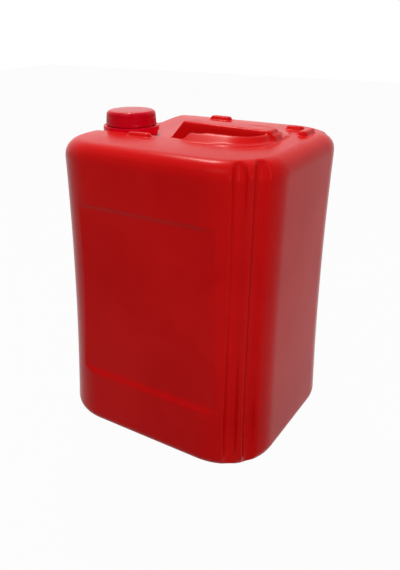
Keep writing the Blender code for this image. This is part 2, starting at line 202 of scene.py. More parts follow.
def addHull(name, inward):
    # the can without its details, smaller by "inward" on every side
    halfX = can["length"] / 2 - inward
    halfY = can["depth"] / 2 - inward
    low = inward
    high = can["deck"] - crownHeight - inward
    hull = addBlock(name, (-halfX, -halfY, low), (halfX, halfY, high))
    roundEdges(hull, upright, can["corner"] - inward, 24)

    # the shoulder is rounded as a circle and then pressed flatter
    reach = can["shoulderReach"] - inward
    press = (can["shoulderDrop"] - inward) / reach
    roundEdges(hull, level(high), reach, 12)
    stretch(hull, lambda v: v.z > high - reach - same, (1, 1, press), (0, 0, high))
    roundEdges(hull, level(low), can["baseRadius"] - inward, 8)

    # rings for the walls, which lean in and are drawn in at mid-height
    wallLow = low + can["baseRadius"] - inward
    wallHigh = high - reach * press
    for number in range(1, can["wallRings"]):
        height = wallLow + (wallHigh - wallLow) * number / can["wallRings"]
        sliceOff(hull, (0, 0, height), (0, 0, 1), keepAll=True)
    for height in sorted({round(vert.co.z, 6) for vert in hull.data.vertices}):
        along = (height - wallLow) / (wallHigh - wallLow) * 2 - 1
        inset = can["draft"] * height / can["deck"]
        if abs(along) < 1:
            inset += can["waist"] * (1 - along * along)
        factors = ((halfX - inset) / halfX, (halfY - inset) / halfY, 1)
        stretch(hull, lambda v: abs(v.z - height) < same / 5, factors, (0, 0, 0))

    # the deck rises a little towards its middle
    for width, rise in crownSteps:
        top = max(vert.co.z for vert in hull.data.vertices)
        pick(hull, "FACE", lambda middle, normal: normal.z > 0.99 and middle.z > top - same)
        bpy.ops.mesh.inset(thickness=width, depth=0)
        bpy.ops.transform.translate(value=(0, 0, rise))
        objectMode()
    return hull


# The deck's forms: neck platform and its slope, finger pocket, handle bar, raised rim, lugs

deck = {
    "platform": 357 * mm,
    "platformFront": -43.5 * mm,
    "slopeStart": (-73 * mm, 20 * mm),
    "slopeTurn": 32,
    "slopeRise": 22,
    "channelLeft": -36 * mm,
    "channelBack": 10 * mm,
    "channelSunk": 0.3 * mm,
    "channelShort": 0.6 * mm,
    "channelCorner": 4 * mm,
    "channelFillet": 3 * mm,
    "pocketLeft": -16.1 * mm,
    "pocketRight": 90 * mm,
    "pocketHalf": 40 * mm,
    "pocketFloor": 334 * mm,
    "pocketCorner": 26 * mm,
    "pocketFillet": 9 * mm,
    "formRoot": 6 * mm,
    "rimLeft": 7.5 * mm,
    "rimLeftLean": 25,
    "rimRight": 98.5 * mm,
    "rimHalf": 59 * mm,
    "rimTop": 379.6 * mm,
    "rimSunk": 1 * mm,
    "rimCrest": 43 * mm,
    "rimSlopeRight": 5 * mm,
    "rimCorner": 39.5 * mm,
    "rimRound": 1.8 * mm,
    "rimBackFall": 2.4 * mm,
    "sillOut": 2.8 * mm,
    "sillHeight": 2 * mm,
    "sillRound": 0.9 * mm,
    "sillFrom": 40 * mm,
    "sillFall": 2.2 * mm,
    "barHalf": 13 * mm,
    "barTop": 384.2 * mm,
    "barFall": 2 * mm,
    "barUnderside": 363 * mm,
    "barLean": 50,
    "barFoot": 2 * mm,
    "barEnd": 95.5 * mm,
    "barRound": 4 * mm,
    "gapHalf": 30 * mm,
    "gapRound": 9 * mm,
    "heelStart": 0.5 * mm,
    "heelEnd": 103 * mm,
    "heelHalf": 11.5 * mm,
    "heelTop": 378 * mm,
    "heelLean": 3.5 * mm,
    "heelRound": 3.5 * mm,
    "lugHeight": 4.4 * mm,
    "lugRoot": 3 * mm,
    "lugRound": 3.2 * mm,
    "lugWidth": 11.5 * mm,
    "lugFlat": 0.6 * mm,
}

# centre, length and direction of each stacking lug
lugPlaces = [
    (-50.5 * mm, -56 * mm, 32 * mm, "x"),
    (-23.5 * mm, 94 * mm, 30.5 * mm, "x"),
    (89 * mm, 75 * mm, 23 * mm, "x"),
    (110 * mm, 58 * mm, 34 * mm, "y"),
]


def addPlatformCutter(name, inward):
    # flat round the neck, then rising at the slope's angle towards the back and the right
    turn = math.radians(deck["slopeTurn"])
    grade = math.tan(math.radians(deck["slopeRise"]))
    floor = deck["platform"] - inward
    high = can["deck"] + can["cutPast"]
    startX, startY = deck["slopeStart"]
    front = deck["platformFront"] - inward
    back = can["depth"]
    cutter = addBlock(name, (-can["length"], front, floor), (0, back, high))
    for y in (front, back):
        for z in (floor, high):
            x = startX + ((z - floor) / grade - (y - startY) * math.sin(turn)) / math.cos(turn)
            corner = Vector((0, y, z))
            shift(cutter, lambda v: (v - corner).length < same, (x, 0, 0))
    return cutter


def addChannelCutter(name, inward):
    # the trough that joins the neck's platform to the finger pocket
    front = deck["platformFront"] - deck["channelSunk"] - inward
    back = deck["channelBack"] + inward
    left = deck["channelLeft"] - inward
    right = deck["rimLeft"] - deck["channelShort"] + inward
    floor = deck["platform"] - deck["channelSunk"] - inward
    cutter = addBlock(name, (left, front, floor), (right, back, can["deck"] + can["cutPast"]))
    roundEdges(cutter, upright, deck["channelCorner"] + inward, 4)
    roundEdges(cutter, level(floor), deck["channelFillet"], 3)
    return cutter


def addPocketCutter(name, inward):
    half = deck["pocketHalf"] + inward
    floor = deck["pocketFloor"] - inward
    low = (deck["pocketLeft"] - inward, -half, floor)
    high = (deck["pocketRight"] + inward, half, can["deck"] + can["cutPast"])
    cutter = addBlock(name, low, high)
    roundEdges(cutter, upright, deck["pocketCorner"] + inward, 10)
    roundEdges(cutter, level(floor), deck["pocketFillet"] + inward, 6)
    return cutter


def addRim(name, inward):
    # a low D in plan: long slope at the front and back, steep at the right, cut off at the left
    left = deck["rimLeft"] + inward
    right = deck["rimRight"] - inward
    half = deck["rimHalf"] - inward
    top = deck["rimTop"] - inward
    foot = can["deck"] - deck["rimSunk"]
    rim = addBlock(name, (left, -half, foot), (right, half, top))
    roundEdges(rim, lambda a, b: upright(a, b) and a.x > left + near, deck["rimCorner"] - inward, 16)
    onTop = lambda v: v.z > top - same
    crest = deck["rimCrest"] - inward
    slopeEnd = (right - left - deck["rimSlopeRight"]) / (right - left)
    stretch(rim, onTop, (slopeEnd, crest / half, 1), (left, 0, top))
    crestEdge = lambda a, b: onTop(a) and onTop(b) and max(a.x, b.x) > left + same
    roundEdges(rim, crestEdge, deck["rimRound"], 3)
    lean = math.radians(deck["rimLeftLean"])
    sliceOff(rim, (left, 0, can["deck"]), (-math.cos(lean), 0, math.sin(lean)))
    # the back lies lower than the front
    pick(rim, "FACE", lambda middle, normal: True)
    tilt = math.atan2(deck["rimBackFall"], 2 * deck["rimCrest"])
    bpy.ops.transform.rotate(value=tilt, orient_axis="X", center_override=(left, -crest, top))
    objectMode()
    return rim


def addSill(name):
    # the low step round the rim's far end, which sinks into the deck towards the left
    left = deck["sillFrom"]
    right = deck["rimRight"] + deck["sillOut"]
    half = deck["rimHalf"] + deck["sillOut"]
    top = can["deck"] + deck["sillHeight"]
    sill = addBlock(name, (left, -half, can["deck"] - deck["formRoot"]), (right, half, top))
    farCorner = lambda a, b: upright(a, b) and a.x > left + near
    roundEdges(sill, farCorner, deck["rimCorner"] + deck["sillOut"], 16)
    onTop = lambda v: v.z > top - same
    outer = lambda a, b: onTop(a) and onTop(b) and max(a.x, b.x) > left + same
    roundEdges(sill, outer, deck["sillRound"], 3)
    shift(sill, lambda v: v.x < left + same and v.z > can["deck"], (0, 0, -deck["sillFall"]))
    return sill


def addBar(name, inward):
    # the handle bar with its gap, from its sloping left foot to its sunk right end
    half = deck["barHalf"] - inward
    top = deck["barTop"] - inward
    root = deck["pocketFloor"] + deck["pocketFillet"]
    lean = math.radians(deck["barLean"])
    reach = (top - root) / math.tan(lean)
    toe = deck["pocketLeft"] - deck["barFoot"] + inward / math.sin(lean)
    right = deck["barEnd"] - inward
    bar = addBlock(name, (toe - reach, -half, root), (right, half, top))
    sliceOff(bar, (toe, 0, top), (-math.sin(lean), 0, math.cos(lean)))
    shift(bar, lambda v: v.x > right - near and v.z > top - near, (0, 0, -deck["barFall"]))
    if inward == 0:
        underTop = top - deck["barFall"] - near
        along = lambda a, b: abs(a.y - b.y) < same
        longTop = lambda a, b: along(a, b) and min(a.z, b.z) > underTop
        leanSide = lambda a, b: along(a, b) and abs(a.z - b.z) > near and max(a.x, b.x) < 0
        endTop = lambda a, b: min(a.x, b.x) > right - same and max(a.z, b.z) > underTop
        outer = lambda a, b: longTop(a, b) or leanSide(a, b) or endTop(a, b)
        roundEdges(bar, outer, deck["barRound"], 5)
    under = deck["barUnderside"] + inward
    gapLeft = deck["pocketLeft"] - inward
    gapRight = deck["pocketRight"] + inward
    low = (gapLeft, -deck["gapHalf"], root - can["cutPast"])
    gap = addBlock(name + "Gap", low, (gapRight, deck["gapHalf"], under))
    gapEdge = lambda a, b: level(under)(a, b) and abs(a.x - b.x) < same
    roundEdges(gap, gapEdge, deck["gapRound"], 6)
    combine(bar, gap, "DIFFERENCE")
    combine(bar, addHeel(name + "Heel", inward), "UNION")
    return bar


def addHeel(name, inward):
    # the lower step behind the bar's right end, whose far side runs down to the deck
    half = deck["heelHalf"] - inward
    left = deck["pocketRight"] + inward + deck["heelStart"]
    right = deck["heelEnd"] - inward
    low = can["deck"] - deck["formRoot"]
    top = deck["heelTop"] - inward
    heel = addBlock(name, (left, -half, low), (right, half, top))
    farTop = lambda v: v.x > right - same and v.z > top - same
    shift(heel, farTop, (-deck["heelLean"], 0, 0))
    if inward == 0:
        farEnd = right - deck["heelLean"] - near / 2
        outer = lambda a, b: max(a.x, b.x) > farEnd and max(a.z, b.z) > low + near
        roundEdges(heel, outer, deck["heelRound"], 4)
    return heel


def addLug(name, x, y, length, direction):
    halfX, halfY = length / 2, deck["lugWidth"] / 2
    if direction == "y":
        halfX, halfY = halfY, halfX
    top = can["deck"] + deck["lugHeight"]
    low = can["deck"] - deck["lugRoot"]
    lug = addBlock(name, (x - halfX, y - halfY, low), (x + halfX, y + halfY, top))
    roundEdges(lug, upright, (deck["lugWidth"] - deck["lugFlat"]) / 2, 6)
    roundEdges(lug, level(top), deck["lugRound"], 5)
    return lug


# Flutes, label panels and underside

flute = {
    "radius": 8.2 * mm,
    "depth": 8.6 * mm,
    "topPast": 8 * mm,
    "foot": -3 * mm,
    "footFrom": 55 * mm,
    "footLean": 7 * mm,
    "angle": 10.3,
    "leanFrom": 350 * mm,
    "frontLeanIn": 12.8 * mm,
    "frontTaper": 0.85,
    "endLeanIn": 12.3 * mm,
    "endLeanAcross": 7 * mm,
    "softUpTo": 366 * mm,
    "softFade": 14 * mm,
}

panel = {
    "width": 200 * mm,
    "low": 80 * mm,
    "high": 296 * mm,
    "depth": 2.2 * mm,
    "topStep": 14 * mm,
    "footStep": 10 * mm,
}


def addFluteCutter(name, inward, angle, side):
    # an upright post, whose top leans in over the shoulder and whose foot leans out of the wall
    radius = flute["radius"] + inward
    reach = can["corner"] - (can["draft"] + can["waist"]) / 2 - flute["depth"] + flute["radius"]
    turn = math.radians(45 + angle)
    outX, outY = math.cos(turn), side * math.sin(turn)
    x = can["length"] / 2 - can["corner"] + reach * outX
    y = side * (can["depth"] / 2 - can["corner"]) + reach * outY
    low = flute["foot"] - inward
    high = can["deck"] + flute["topPast"]
    deselect()
    bpy.ops.mesh.primitive_cylinder_add(
        vertices=32, radius=radius, depth=high - low, location=(x, y, (high + low) / 2)
    )
    cutter = applyPlace(bpy.context.object)
    cutter.name = name
    for height in (flute["leanFrom"], flute["footFrom"]):
        sliceOff(cutter, (0, 0, height), (0, 0, 1), keepAll=True)
    out = flute["footLean"]
    shift(cutter, lambda v: v.z < low + near, (outX * out, outY * out, 0))
    atTop = lambda v: v.z > high - near
    if angle > 0:
        back, across = flute["frontLeanIn"], 0
        taper = flute["frontTaper"]
        stretch(cutter, atTop, (taper, taper, 1), (x, y, high))
    else:
        back, across = flute["endLeanIn"], flute["endLeanAcross"]
    shift(cutter, atTop, (-outX * back + side * outY * across, -outY * back - side * outX * across, 0))
    return cutter


def addPanelCutter(name, inward, side):
    # a flat let into the wall, with a gentle step at its top and its foot
    wallY = can["depth"] / 2 - can["draft"] / 2 - can["waist"]
    floor = wallY - panel["depth"] - inward
    outside = can["depth"] / 2
    half = panel["width"] / 2 + inward
    low = panel["low"] - inward
    high = panel["high"] + inward
    nearY, farY = sorted((side * floor, side * outside))
    cutter = addBlock(name, (-half, nearY, low), (half, farY, high))
    outer = lambda v: abs(v.y - side * outside) < same
    shift(cutter, lambda v: outer(v) and v.z > high - near, (0, 0, panel["topStep"]))
    shift(cutter, lambda v: outer(v) and v.z < low + near, (0, 0, -panel["footStep"]))
    return cutter


def addPushUp(name, inward):
    # the raised underside inside the rim that the can stands on
    halfX = can["length"] / 2 - can["baseRim"] + inward
    halfY = can["depth"] / 2 - can["baseRim"] + inward
    high = can["baseRise"] + inward
    cutter = addBlock(name, (-halfX, -halfY, -can["cutBelow"]), (halfX, halfY, high))
    roundEdges(cutter, upright, can["corner"] - can["baseRadius"], 12)
    slope = can["baseSlope"]
    narrower = ((halfX - slope) / halfX, (halfY - slope) / halfY, 1)
    stretch(cutter, lambda v: v.z > high - same, narrower, (0, 0, high))
    return cutter


def addSeamGroove(name, inward):
    half = can["seamWidth"] / 2 + inward
    high = can["seamHeight"] + inward
    cutter = addBlock(name, (-can["length"], -half, -can["cutBelow"]), (can["length"], half, high))
    stretch(cutter, lambda v: v.z > high - same, (1, can["seamTaper"], 1), (0, 0, high))
    return cutter


def addForms(piece, inward, kind):
    # the deck, flutes, panels and underside, on the outside or on the hollow
    combine(piece, addRim("rim" + kind, inward), "UNION")
    if inward == 0:
        combine(piece, addSill("sill"), "UNION")
    combine(piece, addPlatformCutter("platform" + kind, inward), "DIFFERENCE")
    combine(piece, addChannelCutter("channel" + kind, inward), "DIFFERENCE")
    combine(piece, addPocketCutter("pocket" + kind, inward), "DIFFERENCE")
    combine(piece, addBar("bar" + kind, inward), "UNION")
    for side in (-1, 1):
        combine(piece, addPanelCutter("panel" + kind, inward, side), "DIFFERENCE")
        for angle in (-flute["angle"], flute["angle"]):
            combine(piece, addFluteCutter("flute" + kind, inward, angle, side), "DIFFERENCE")
    combine(piece, addPushUp("pushUp" + kind, inward), "DIFFERENCE")
    combine(piece, addSeamGroove("seamGroove" + kind, inward), "DIFFERENCE")


# What is turned round the neck's axis

neck = {
    "bore": 24.5 * mm,
    "boreClear": 3 * mm,
    "radius": 27.2 * mm,
    "top": 384.5 * mm,
    "lipRound": 0.8 * mm,
    "stem": 28 * mm,
    "stemRoot": 1.1 * mm,
    "bead": 32.4 * mm,
    "beadHeight": 365.4 * mm,
    "beadFoot": 1 * mm,
    "beadSlope": 3.2 * mm,
    "stemEnd": 5 * mm,
    "pitch": 5 * mm,
    "threadStart": 373.4 * mm,
    "threadTurns": 1.75,
    "threadHeight": 2 * mm,
    "threadRoot": 0.6 * mm,
    "threadFoot": 1.4 * mm,
    "threadCrest": 0.5 * mm,
}

# the bead's edge from below: how far in from its radius, and how far over its height
beadEdge = [(0.3 * mm, -0.1 * mm), (0, 0.3 * mm), (0, 0.8 * mm), (0.4 * mm, 1.2 * mm)]


def turnProfile(name, profile, sides, closed=False):
    # a circle about the neck's axis, extruded and scaled from point to point
    radius, height = profile[0]
    deselect()
    fill = "NOTHING" if closed else "NGON"
    place = (neckX, 0, height)
    bpy.ops.mesh.primitive_circle_add(vertices=sides, radius=radius, fill_type=fill, location=place)
    piece = applyPlace(bpy.context.object)
    piece.name = name
    pick(piece, "EDGE", lambda a, b: True)
    for nextRadius, nextHeight in profile[1:] + profile[:1] * closed:
        way = (0, 0, nextHeight - height)
        bpy.ops.mesh.extrude_region_move(TRANSFORM_OT_translate={"value": way})
        factor = nextRadius / radius
        bpy.ops.transform.resize(value=(factor, factor, 1), center_override=(neckX, 0, nextHeight))
        radius, height = nextRadius, nextHeight
    if not closed:
        bpy.ops.mesh.edge_face_add()
    bpy.ops.mesh.select_all(action="SELECT")
    bpy.ops.mesh.remove_doubles(threshold=same / 5)
    bpy.ops.mesh.normals_make_consistent(inside=False)
    objectMode()
    return piece


def arc(centreRadius, centreHeight, size, fromDegrees, toDegrees, steps):
    # profile points on a circle, from one angle to another
    points = []
    for step in range(steps + 1):
        angle = math.radians(fromDegrees + (toDegrees - fromDegrees) * step / steps)
        points.append((centreRadius + size * math.cos(angle), centreHeight + size * math.sin(angle)))
    return points


def addThread(name, wallRadius, outwards, start, turns, phase):
    # a right-handed thread, as a section run round and up by the Screw modifier
    root = wallRadius - outwards * neck["threadRoot"]
    crest = wallRadius + outwards * neck["threadHeight"]
    wide, narrow = neck["threadFoot"], neck["threadCrest"]
    deselect()
    bpy.ops.mesh.primitive_plane_add(size=1)
    thread = bpy.context.object
    thread.name = name
    section = [(root, -wide), (crest, -narrow), (root, wide), (crest, narrow)]
    for vert, (radius, height) in zip(thread.data.vertices, section):
        vert.co = (radius, 0, height)
    applyPlace(thread)
    screw = thread.modifiers.new("Screw", "SCREW")
    screw.axis = "Z"
    screw.angle = math.tau * turns
    screw.screw_offset = neck["pitch"] * turns
    screw.steps = round(64 * turns)
    screw.render_steps = screw.steps
    screw.use_normal_calculate = True
    applyModifiers(thread)
    thread.rotation_euler.z = phase
    thread.location = (neckX, 0, start)
    return applyPlace(thread)


def addNeck():
    stem, bead, lip = neck["stem"], neck["beadHeight"], neck["lipRound"]
    profile = [(stem, deck["platform"] - neck["stemRoot"]), (stem, bead - neck["beadFoot"])]
    profile += [(neck["bead"] - inwards, bead + rise) for inwards, rise in beadEdge]
    profile += [(stem, bead + neck["beadSlope"]), (neck["radius"], bead + neck["stemEnd"])]
    profile += arc(neck["radius"] - lip, neck["top"] - lip, lip, 0, 90, 4)
    piece = turnProfile("neck", profile, 128)
    thread = addThread("neckThread", neck["radius"], 1, neck["threadStart"], neck["threadTurns"], 0)
    combine(piece, thread, "UNION")
    return piece


def addBore():
    low = deck["platform"] - deck["formRoot"]
    high = neck["top"] + neck["boreClear"]
    return turnProfile("bore", [(neck["bore"], low), (neck["bore"], high)], 96)


def markLips(piece):
    # weights for the corners that hold the flutes, which fade out over the shoulder
    group = piece.vertex_groups.new(name="lips")
    members = {}
    for vert in piece.data.vertices:
        fromEnd = can["length"] / 2 - vert.co.x
        fromSide = can["depth"] / 2 - abs(vert.co.y)
        if max(fromEnd, fromSide) < can["corner"]:
            fade = min(1, max(0, (flute["softUpTo"] - vert.co.z) / flute["softFade"]))
            members.setdefault(round(fade, 1), []).append(vert.index)
    for weight, indices in members.items():
        group.add(indices, weight, "REPLACE")


print("stage: hull and its forms")
shell = addHull("can_shell", 0)
addForms(shell, 0, "")
for number, place in enumerate(lugPlaces):
    combine(shell, addLug(f"lug{number}", *place), "UNION")

print("stage: softening every edge")
remesh = shell.modifiers.new("Remesh", "REMESH")
remesh.mode = "VOXEL"
remesh.voxel_size = can["voxel"]
smooth = shell.modifiers.new("Smooth", "SMOOTH")
smooth.factor = 0.5
smooth.iterations = can["softening"]
applyModifiers(shell)
markLips(shell)
smooth = shell.modifiers.new("SmoothLips", "SMOOTH")
smooth.factor = 0.5
smooth.iterations = can["lipSoftening"]
smooth.vertex_group = "lips"
applyModifiers(shell)
print("shell has", len(shell.data.polygons), "faces before it is thinned")
shell.data.calc_loop_triangles()
thin = shell.modifiers.new("Decimate", "DECIMATE")
thin.ratio = min(1, can["triangles"] / len(shell.data.loop_triangles))
applyModifiers(shell)
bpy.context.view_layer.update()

print("stage: neck")
combine(shell, addNeck(), "UNION")

print("stage: hollow")
hollow = addHull("hollow", can["wall"])
addForms(hollow, can["wall"], "Hollow")
combine(hollow, addBore(), "UNION")
combine(shell, hollow, "DIFFERENCE")
shadeSmooth(shell, can["creaseAngle"])
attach(shell, "can")
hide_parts("can_body")
print("shell has", len(shell.data.polygons), "faces at the end")


# The screw cap, the tamper ring and their fine shapes

cap = {
    "low": capLow.z,
    "top": capHigh.z,
    "radius": capRadius,
    "shrink": 0.7 * mm,
    "wallSunk": 0.05 * mm,
    "edge": 5.2 * mm,
    "crown": 0.3 * mm,
    "ribs": 72,
    "ribDepth": 0.22 * mm,
    "ribLow": 373.4 * mm,
    "ribHigh": 384.6 * mm,
    "bore": 29.9 * mm,
    "ceiling": 387 * mm,
    "ceilingChamfer": 1 * mm,
    "cutBelow": 2 * mm,
    "threadStart": 376.2 * mm,
    "threadTurns": 1.4,
    "creaseAngle": 35,
}

# the cap's hem: how far in from its radius, and how far over its lowest point
capHem = [(0.5 * mm, 0), (0.1 * mm, 0.2 * mm), (0, 0.7 * mm), (0, 1.3 * mm)]
# the cap's top inside its round edge: how far in from that, and how far below the highest point
capCrown = [(6 * mm, 0.12 * mm), (14 * mm, 0)]

ring = {
    "low": ringLow.z,
    "top": 371.2 * mm,
    "radius": ringRadius,
    "round": 1.3 * mm,
    "skirt": 34 * mm,
    "step": 364.6 * mm,
    "stepChamfer": 0.5 * mm,
    "skirtEnd": 1.2 * mm,
    "filletOut": 0.3 * mm,
    "filletDrop": 0.4 * mm,
    "inner": 30.2 * mm,
    "ledge": 370.3 * mm,
    "ledgeEdge": 1 * mm,
    "ledgeRoot": 1.5 * mm,
    "ledgeChamfer": 0.6 * mm,
    "beadClear": 33.1 * mm,
    "hook": 31 * mm,
    "hookTop": 364.8 * mm,
    "hookHeight": 1.4 * mm,
    "stubs": 12,
    "stubRoot": 0.4 * mm,
    "stubFrom": 0.3 * mm,
    "stubTo": 1.7 * mm,
    "stubHalf": 1 * mm,
    "stubLean": 0.4 * mm,
}

# the ring's hem: how far in from its skirt, and how far over its lowest point
ringHem = [(0.6 * mm, 0), (0.15 * mm, 0.2 * mm), (0, 0.7 * mm)]


def pressRibs(piece):
    # the valleys between the ribs are pressed in, in two steps that make a soft wave
    wave = lambda v: math.cos(cap["ribs"] * math.atan2(v.y, v.x - neckX))
    outside = lambda v: (v.xy - Vector((neckX, 0))).length > cap["bore"]
    factor = 1 - cap["ribDepth"] / 2 / cap["radius"]
    for crest in (0.5, -0.5):
        inValley = lambda v: cap["ribLow"] < v.z < cap["ribHigh"] and outside(v) and wave(v) < crest
        stretch(piece, inValley, (factor, factor, 1), (neckX, 0, 0))


def addCap():
    radius, top, edge = cap["radius"], cap["top"], cap["edge"]
    side = radius - cap["shrink"]
    profile = [(radius - inwards, cap["low"] + rise) for inwards, rise in capHem]
    steps = 5
    for step in range(steps + 1):
        height = cap["ribLow"] + (top - edge - cap["ribLow"]) * step / steps
        profile.append((radius + (side - radius) * step / steps - cap["wallSunk"], height))
    profile += arc(side - edge, top - edge - cap["crown"], edge, 0, 86, 10)[1:]
    profile += [(side - edge - inwards, top - drop) for inwards, drop in capCrown]
    piece = turnProfile("screw_cap_skin", profile, 4 * cap["ribs"])
    pressRibs(piece)
    bore, chamfer = cap["bore"], cap["ceilingChamfer"]
    inside = [(bore, cap["low"] - cap["cutBelow"]), (bore, cap["ceiling"] - chamfer)]
    inside += [(bore - chamfer, cap["ceiling"])]
    combine(piece, turnProfile("capInside", inside, 144), "DIFFERENCE")
    thread = addThread("capThread", bore, -1, cap["threadStart"], cap["threadTurns"], math.pi)
    combine(piece, thread, "UNION")
    return piece


def addRing():
    radius, skirt, top, step = ring["radius"], ring["skirt"], ring["top"], ring["step"]
    clear, inner, ledge = ring["beadClear"], ring["inner"], ring["ledge"]
    profile = [(skirt - inwards, ring["low"] + rise) for inwards, rise in ringHem]
    profile += [(skirt, step - ring["skirtEnd"])]
    profile += [(skirt + ring["filletOut"], step - ring["filletDrop"])]
    profile += [(radius - ring["stepChamfer"], step), (radius, step + ring["stepChamfer"])]
    profile += arc(radius - ring["round"], top - ring["round"], ring["round"], 0, 90, 5)
    profile += [(clear, top), (clear - ring["ledgeChamfer"], ledge)]
    profile += [(inner, ledge), (inner, ledge - ring["ledgeEdge"])]
    profile += [(clear, ledge - ring["ledgeRoot"]), (clear, ring["hookTop"])]
    profile += [(ring["hook"], ring["hookTop"] - ring["hookHeight"]), (ring["hook"], ring["low"])]
    piece = turnProfile("tamper_ring_skin", profile, 192, closed=True)
    for number in range(ring["stubs"]):
        combine(piece, addStub(math.tau * number / ring["stubs"]), "UNION")
    return piece


def addStub(turn):
    # what is left of a bridge to the cap, leaning inwards a little
    left, right = ring["inner"] + ring["stubFrom"], ring["inner"] + ring["stubTo"]
    low, high = ring["ledge"] - ring["stubRoot"], ring["top"]
    stub = addBlock("stub", (left, -ring["stubHalf"], low), (right, ring["stubHalf"], high))
    outerTop = lambda v: v.z > high - same and v.x > right - same
    shift(stub, outerTop, (-ring["stubLean"], 0, 0))
    stub.rotation_euler.z = turn
    stub.location.x = neckX
    return applyPlace(stub)


print("stage: cap and ring")
capSkin = addCap()
ringSkin = addRing()
for skin, node, body, slot in (
    (capSkin, "screw_cap", "cap", "cap"),
    (ringSkin, "tamper_ring", "can", "ring"),
):
    shadeSmooth(skin, cap["creaseAngle"])
    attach(skin, body)
    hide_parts(node)
    print(skin.name, "has", len(skin.data.polygons), "faces")


# Materials

print("stage: materials")


def addNode(tree, kind, **values):
    node = tree.nodes.new(kind)
    for name, value in values.items():
        if hasattr(node, name):
            setattr(node, name, value)
        else:
            node.inputs[name.replace("_", " ")].default_value = value
    return node


def mathNode(tree, operation, first, second=None, third=None, clamp=False):
    node = tree.nodes.new("ShaderNodeMath")
    node.operation = operation
    node.use_clamp = clamp
    for socket, value in zip(node.inputs, (first, second, third)):
        if value is None:
            continue
        if isinstance(value, (int, float)):
            socket.default_value = value
        else:
            tree.links.new(value, socket)
    return node.outputs[0]


def rangeNode(tree, value, fromLow, fromHigh, toLow, toHigh):
    node = addNode(tree, "ShaderNodeMapRange")
    limits = {"From Min": fromLow, "From Max": fromHigh, "To Min": toLow, "To Max": toHigh}
    for name, number in limits.items():
        node.inputs[name].default_value = number
    tree.links.new(value, node.inputs["Value"])
    return node.outputs[0]


def noiseNode(tree, vector, scale, detail, roughness, distortion=0):
    node = addNode(tree, "ShaderNodeTexNoise", Detail=detail, Roughness=roughness, Distortion=distortion)
    tree.links.new(scale, node.inputs["Scale"])
    tree.links.new(vector, node.inputs["Vector"])
    return node.outputs["Fac"]


skinLook = {
    "streakStretch": (1, 1, 0.045),
    "speckScale": 210,
    "speckShare": 0.14,
    "speckEdge": (0.05, 0.16),
    "speckRoughness": 0.12,
}


def makeMouldedSkin():
    # what every moulded plastic here shares: fine grain, broad patches, drawn streaks, tiny specks
    group = bpy.data.node_groups.new("mouldedSkin", "ShaderNodeTree")
    wanted = (("Vector", "NodeSocketVector"), ("Grain Scale", "NodeSocketFloat"))
    wanted += (("Patch Scale", "NodeSocketFloat"), ("Streak Scale", "NodeSocketFloat"))
    for name, kind in wanted:
        group.interface.new_socket(name, in_out="INPUT", socket_type=kind)
    for name in ("Grain", "Patches", "Streaks", "Specks"):
        group.interface.new_socket(name, in_out="OUTPUT", socket_type="NodeSocketFloat")
    given = addNode(group, "NodeGroupInput").outputs
    result = addNode(group, "NodeGroupOutput").inputs
    link = group.links.new
    grain = noiseNode(group, given["Vector"], given["Grain Scale"], 2, 0.55)
    patches = noiseNode(group, given["Vector"], given["Patch Scale"], 4, 0.6, 0.4)
    flat = addNode(group, "ShaderNodeMapping", vector_type="POINT")
    flat.inputs["Scale"].default_value = skinLook["streakStretch"]
    link(given["Vector"], flat.inputs["Vector"])
    streaks = noiseNode(group, flat.outputs["Vector"], given["Streak Scale"], 3, 0.6)
    cells = addNode(group, "ShaderNodeTexVoronoi", feature="F1")
    link(given["Vector"], cells.inputs["Vector"])
    cells.inputs["Scale"].default_value = skinLook["speckScale"]
    chosen = mathNode(group, "GREATER_THAN", cells.outputs["Color"], 1 - skinLook["speckShare"])
    dot = rangeNode(group, cells.outputs["Distance"], *skinLook["speckEdge"], 1, 0)
    specks = mathNode(group, "MULTIPLY", chosen, dot, clamp=True)
    for name, value in (("Grain", grain), ("Patches", patches), ("Streaks", streaks), ("Specks", specks)):
        link(value, result[name])
    return group


mouldedSkin = makeMouldedSkin()

canLook = {
    "light": (0.73, 0.007, 0.007),
    "deep": (0.66, 0.005, 0.0055),
    "roughness": (0.21, 0.27),
    "specular": 0.07,
    "tint": (1, 0.42, 0.44),
    "patchEdge": (0.35, 0.65),
    "grain": (900, 9, 260),
    "grainDepth": 0.018 * mm,
    "streakDepth": 0.03 * mm,
    "partingFlat": 0.2 * mm,
    "partingWidth": 0.9 * mm,
    "partingDepth": 0.16 * mm,
}

capLook = {
    "light": (0.66, 0.0005, 0.014),
    "deep": (0.58, 0.0002, 0.01),
    "roughness": (0.14, 0.2),
    "specular": 0.08,
    "tint": (1, 0.45, 0.55),
    "patchEdge": (0.35, 0.65),
    "grain": (1400, 26, 420),
    "grainDepth": 0.012 * mm,
    "streakDepth": 0.02 * mm,
}

# the ring is of the cap's plastic; its lighter colour is painted light, making up for the shade it lies
# in under the cap
ringLook = dict(capLook, light=(0.82, 0.0007, 0.02), deep=(0.74, 0.0004, 0.015), grain=(1300, 40, 380))

foamLook = {
    "light": (0.78, 0.76, 0.72),
    "deep": (0.7, 0.67, 0.62),
    "roughness": (0.95, 0.75),
    "specular": 0.3,
    "tint": (1, 1, 1),
    "patchEdge": (0.3, 0.7),
    "grain": (1500, 60, 300),
    "cellScale": 1400,
    "cellDepth": 0.2 * mm,
}


